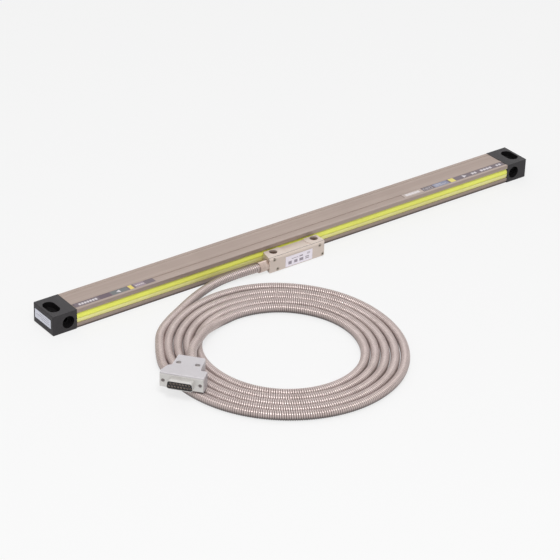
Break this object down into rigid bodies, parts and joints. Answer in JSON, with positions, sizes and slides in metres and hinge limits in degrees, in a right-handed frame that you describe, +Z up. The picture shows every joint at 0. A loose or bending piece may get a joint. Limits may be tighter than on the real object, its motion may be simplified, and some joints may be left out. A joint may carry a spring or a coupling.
{
  "type": "linear glass scale",
  "caption": "Sealed linear encoder: a slim aluminium housing with a glass scale behind lip seals, and a reading head that slides along its slot on an armoured cable with a D-shaped plug.",
  "frame": {"origin": "middle of the base face of the scale body", "axes": "+X along the scale, -Y towards the slot and the reading head, +Z up"},
  "size_m": [0.57, 0.2864, 0.0239],
  "materials": {
    "bronze_aluminium": "fine brushed, bronze anodised",
    "black_paint": "satin black",
    "gasket_rubber": "matte",
    "upper_lip_rubber": "satin yellow-green",
    "lower_lip_rubber": "satin yellow-green",
    "screw_steel": "machined",
    "glass": "polished",
    "bond": "matte",
    "strip_film": "printed film",
    "label_film": "bare white film",
    "head_metal": "satin champagne",
    "board_green": "solder resist",
    "component_black": "moulded",
    "blade_steel": "ground",
    "flex_film": "polyimide film",
    "carriage_metal": "machined",
    "bearing_steel": "polished",
    "lens_glass": "polished",
    "lamp_resin": "clear resin",
    "gland_metal": "satin",
    "conduit_steel": "interlocked strip",
    "hood_metal": "satin silver",
    "shell_metal": "tin plated",
    "insulator_black": "moulded",
    "contact_gold": "gold plated"
  },
  "bodies": {
    "scale": {"housing_extrusion": "bronze_aluminium", "end_block_left": "black_paint", "end_block_right": "black_paint", "end_gaskets": "gasket_rubber", "end_block_screws": "screw_steel", "upper_seal_lip": "upper_lip_rubber", "lower_seal_lip": "lower_lip_rubber", "glass_scale": "glass", "glass_bond": "bond", "strip_left": "strip_film", "strip_right": "strip_film", "end_label": "label_film"},
    "reading_head": {"head_housing": "head_metal", "head_cover": "head_metal", "cover_gasket": "gasket_rubber", "cover_screws": "screw_steel", "head_label": "label_film", "circuit_board": "board_green", "board_components": "component_black", "blade": "blade_steel", "blade_screws": "screw_steel", "flat_cable": "flex_film", "coupling_ball": "screw_steel", "carriage_spring": "blade_steel", "carriage_frame": "carriage_metal", "bearing_pins": "bearing_steel", "light_source": "lamp_resin", "condenser_lens": "lens_glass", "scanning_plate": "glass", "photodetector_board": "board_green", "gland_barrel": "gland_metal", "conduit_lead": "conduit_steel", "conduit_coil": "conduit_steel", "conduit_tail": "conduit_steel", "plug_ferrule": "contact_gold", "hood_lower": "hood_metal", "hood_upper": "hood_metal", "hood_screws": "screw_steel", "plug_shell": "shell_metal", "plug_insulator": "insulator_black", "plug_contacts": "contact_gold"},
    "face_bearing_left_back": {"face_bearing_left_back": "bearing_steel"},
    "face_bearing_left_front": {"face_bearing_left_front": "bearing_steel"},
    "face_bearing_right": {"face_bearing_right": "bearing_steel"},
    "edge_bearing_left": {"edge_bearing_left": "bearing_steel"},
    "edge_bearing_right": {"edge_bearing_right": "bearing_steel"},
    "jackscrew_left": {"jackscrew_left": "screw_steel"},
    "jackscrew_right": {"jackscrew_right": "screw_steel"}
  },
  "joints": [
    {"name": "head_slide", "type": "slide", "parent": "scale", "child": "reading_head", "axis": [1, 0, 0], "range_m": [-0.198, 0.242]},
    {"name": "face_bearing_left_back_spin", "type": "hinge", "parent": "reading_head", "child": "face_bearing_left_back", "pos_m": [-0.046, 0.0033, 0.00917], "axis": [0, 1, 0], "continuous": true},
    {"name": "face_bearing_left_front_spin", "type": "hinge", "parent": "reading_head", "child": "face_bearing_left_front", "pos_m": [-0.046, -0.0019, 0.00917], "axis": [0, 1, 0], "continuous": true},
    {"name": "face_bearing_right_spin", "type": "hinge", "parent": "reading_head", "child": "face_bearing_right", "pos_m": [0.002, 0.0033, 0.00917], "axis": [0, 1, 0], "continuous": true},
    {"name": "edge_bearing_left_spin", "type": "hinge", "parent": "reading_head", "child": "edge_bearing_left", "pos_m": [-0.046, -0.00593, 0.0129], "axis": [0, 0, 1], "continuous": true},
    {"name": "edge_bearing_right_spin", "type": "hinge", "parent": "reading_head", "child": "edge_bearing_right", "pos_m": [0.002, -0.00593, 0.0129], "axis": [0, 0, 1], "continuous": true},
    {"name": "jackscrew_left_spin", "type": "hinge", "parent": "reading_head", "child": "jackscrew_left", "pos_m": [-0.25913, -0.15386, 0.0164], "axis": [0.7771, 0.6293, 0], "continuous": true},
    {"name": "jackscrew_right_spin", "type": "hinge", "parent": "reading_head", "child": "jackscrew_right", "pos_m": [-0.23817, -0.17974, 0.0164], "axis": [0.7771, 0.6293, 0], "continuous": true}
  ],
  "couplings": [
    {"joint": "face_bearing_left_back_spin", "follows": "head_slide", "rad_per_m": -400},
    {"joint": "face_bearing_left_front_spin", "follows": "head_slide", "rad_per_m": -400},
    {"joint": "face_bearing_right_spin", "follows": "head_slide", "rad_per_m": -400},
    {"joint": "edge_bearing_left_spin", "follows": "head_slide", "rad_per_m": 400},
    {"joint": "edge_bearing_right_spin", "follows": "head_slide", "rad_per_m": 400}
  ]
}
